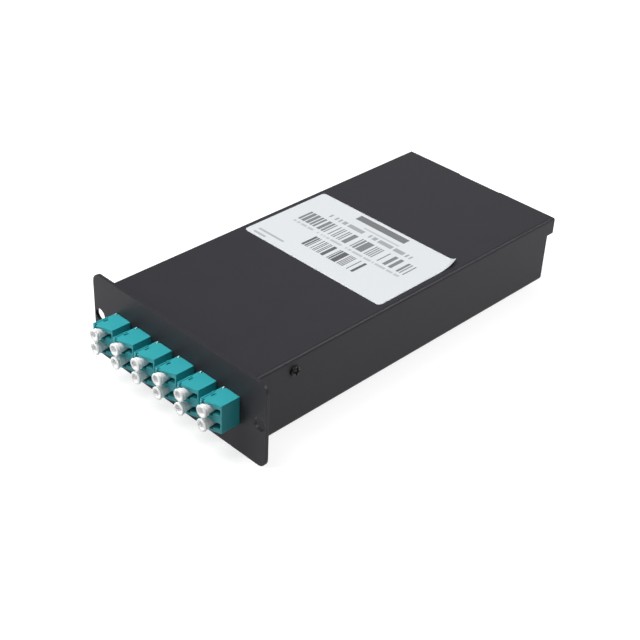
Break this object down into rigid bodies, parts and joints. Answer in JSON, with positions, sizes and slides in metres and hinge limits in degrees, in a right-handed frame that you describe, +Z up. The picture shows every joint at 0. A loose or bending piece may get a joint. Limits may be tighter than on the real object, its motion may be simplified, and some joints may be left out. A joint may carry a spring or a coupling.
{
  "type": "fibre cassette",
  "caption": "Black sheet-metal fibre cassette with a wide front plate, upright aqua duplex LC adapters with dust plugs, and an MPO adapter in the rear wall.",
  "frame": {"origin": "on the front plate's rear (mounting) face, midway between the two ear holes", "axes": "+X along the front plate, +Y from the plate into the box, +Z up through the cover"},
  "size_m": [0.1016, 0.2081, 0.0384],
  "materials": {
    "powder_coat": "fine-textured black powder coat",
    "black_screw": "black oxide",
    "steel": "zinc plated",
    "spring_steel": "rolled spring strip",
    "paper": "matt paper",
    "aqua_plastic": "satin moulded aqua",
    "ceramic": "polished ceramic",
    "plug_plastic": "soft translucent white",
    "connector_plastic": "beige moulded",
    "connector_aqua": "aqua moulded",
    "fibre_jacket": "aqua jacket",
    "grey_plastic": "matt grey",
    "black_plastic": "matt black"
  },
  "bodies": {
    "cassette": {"front_plate": "powder_coat", "tray": "powder_coat", "cover": "powder_coat", "label": "paper", "cover_screws": "black_screw", "clinch_nuts": "steel", "lc_adapter_1": "aqua_plastic", "adapter_clip_1": "spring_steel", "split_sleeves_1": "ceramic", "lc_connector_1_upper": "connector_plastic", "lc_connector_1_lower": "connector_plastic", "lc_adapter_2": "aqua_plastic", "adapter_clip_2": "spring_steel", "split_sleeves_2": "ceramic", "lc_connector_2_upper": "connector_plastic", "lc_connector_2_lower": "connector_plastic", "lc_adapter_3": "aqua_plastic", "adapter_clip_3": "spring_steel", "split_sleeves_3": "ceramic", "lc_connector_3_upper": "connector_plastic", "lc_connector_3_lower": "connector_plastic", "lc_adapter_4": "aqua_plastic", "adapter_clip_4": "spring_steel", "split_sleeves_4": "ceramic", "lc_connector_4_upper": "connector_plastic", "lc_connector_4_lower": "connector_plastic", "lc_adapter_5": "aqua_plastic", "adapter_clip_5": "spring_steel", "split_sleeves_5": "ceramic", "lc_connector_5_upper": "connector_plastic", "lc_connector_5_lower": "connector_plastic", "lc_adapter_6": "aqua_plastic", "adapter_clip_6": "spring_steel", "split_sleeves_6": "ceramic", "lc_connector_6_upper": "connector_plastic", "lc_connector_6_lower": "connector_plastic", "fibres": "fibre_jacket", "fanout_block": "grey_plastic", "fanout_bracket": "grey_plastic", "mpo_lead": "fibre_jacket", "mpo_adapter": "aqua_plastic", "mpo_connector": "connector_aqua", "mpo_screws": "steel", "mpo_nuts": "steel"},
    "plug_1_upper": {"dust_plug_1_upper": "plug_plastic"},
    "plug_1_lower": {"dust_plug_1_lower": "plug_plastic"},
    "plug_2_upper": {"dust_plug_2_upper": "plug_plastic"},
    "plug_2_lower": {"dust_plug_2_lower": "plug_plastic"},
    "plug_3_upper": {"dust_plug_3_upper": "plug_plastic"},
    "plug_3_lower": {"dust_plug_3_lower": "plug_plastic"},
    "plug_4_upper": {"dust_plug_4_upper": "plug_plastic"},
    "plug_4_lower": {"dust_plug_4_lower": "plug_plastic"},
    "plug_5_upper": {"dust_plug_5_upper": "plug_plastic"},
    "plug_5_lower": {"dust_plug_5_lower": "plug_plastic"},
    "plug_6_upper": {"dust_plug_6_upper": "plug_plastic"},
    "plug_6_lower": {"dust_plug_6_lower": "plug_plastic"},
    "trunk_cap": {"mpo_dust_cap": "black_plastic"}
  },
  "joints": [
    {"name": "pull_plug_1_upper", "type": "slide", "parent": "cassette", "child": "plug_1_upper", "axis": [0, -1, 0], "range_m": [0, 0.018]},
    {"name": "pull_plug_1_lower", "type": "slide", "parent": "cassette", "child": "plug_1_lower", "axis": [0, -1, 0], "range_m": [0, 0.018]},
    {"name": "pull_plug_2_upper", "type": "slide", "parent": "cassette", "child": "plug_2_upper", "axis": [0, -1, 0], "range_m": [0, 0.018]},
    {"name": "pull_plug_2_lower", "type": "slide", "parent": "cassette", "child": "plug_2_lower", "axis": [0, -1, 0], "range_m": [0, 0.018]},
    {"name": "pull_plug_3_upper", "type": "slide", "parent": "cassette", "child": "plug_3_upper", "axis": [0, -1, 0], "range_m": [0, 0.018]},
    {"name": "pull_plug_3_lower", "type": "slide", "parent": "cassette", "child": "plug_3_lower", "axis": [0, -1, 0], "range_m": [0, 0.018]},
    {"name": "pull_plug_4_upper", "type": "slide", "parent": "cassette", "child": "plug_4_upper", "axis": [0, -1, 0], "range_m": [0, 0.018]},
    {"name": "pull_plug_4_lower", "type": "slide", "parent": "cassette", "child": "plug_4_lower", "axis": [0, -1, 0], "range_m": [0, 0.018]},
    {"name": "pull_plug_5_upper", "type": "slide", "parent": "cassette", "child": "plug_5_upper", "axis": [0, -1, 0], "range_m": [0, 0.018]},
    {"name": "pull_plug_5_lower", "type": "slide", "parent": "cassette", "child": "plug_5_lower", "axis": [0, -1, 0], "range_m": [0, 0.018]},
    {"name": "pull_plug_6_upper", "type": "slide", "parent": "cassette", "child": "plug_6_upper", "axis": [0, -1, 0], "range_m": [0, 0.018]},
    {"name": "pull_plug_6_lower", "type": "slide", "parent": "cassette", "child": "plug_6_lower", "axis": [0, -1, 0], "range_m": [0, 0.018]},
    {"name": "pull_trunk_cap", "type": "slide", "parent": "cassette", "child": "trunk_cap", "axis": [0, 1, 0], "range_m": [0, 0.014]}
  ]
}
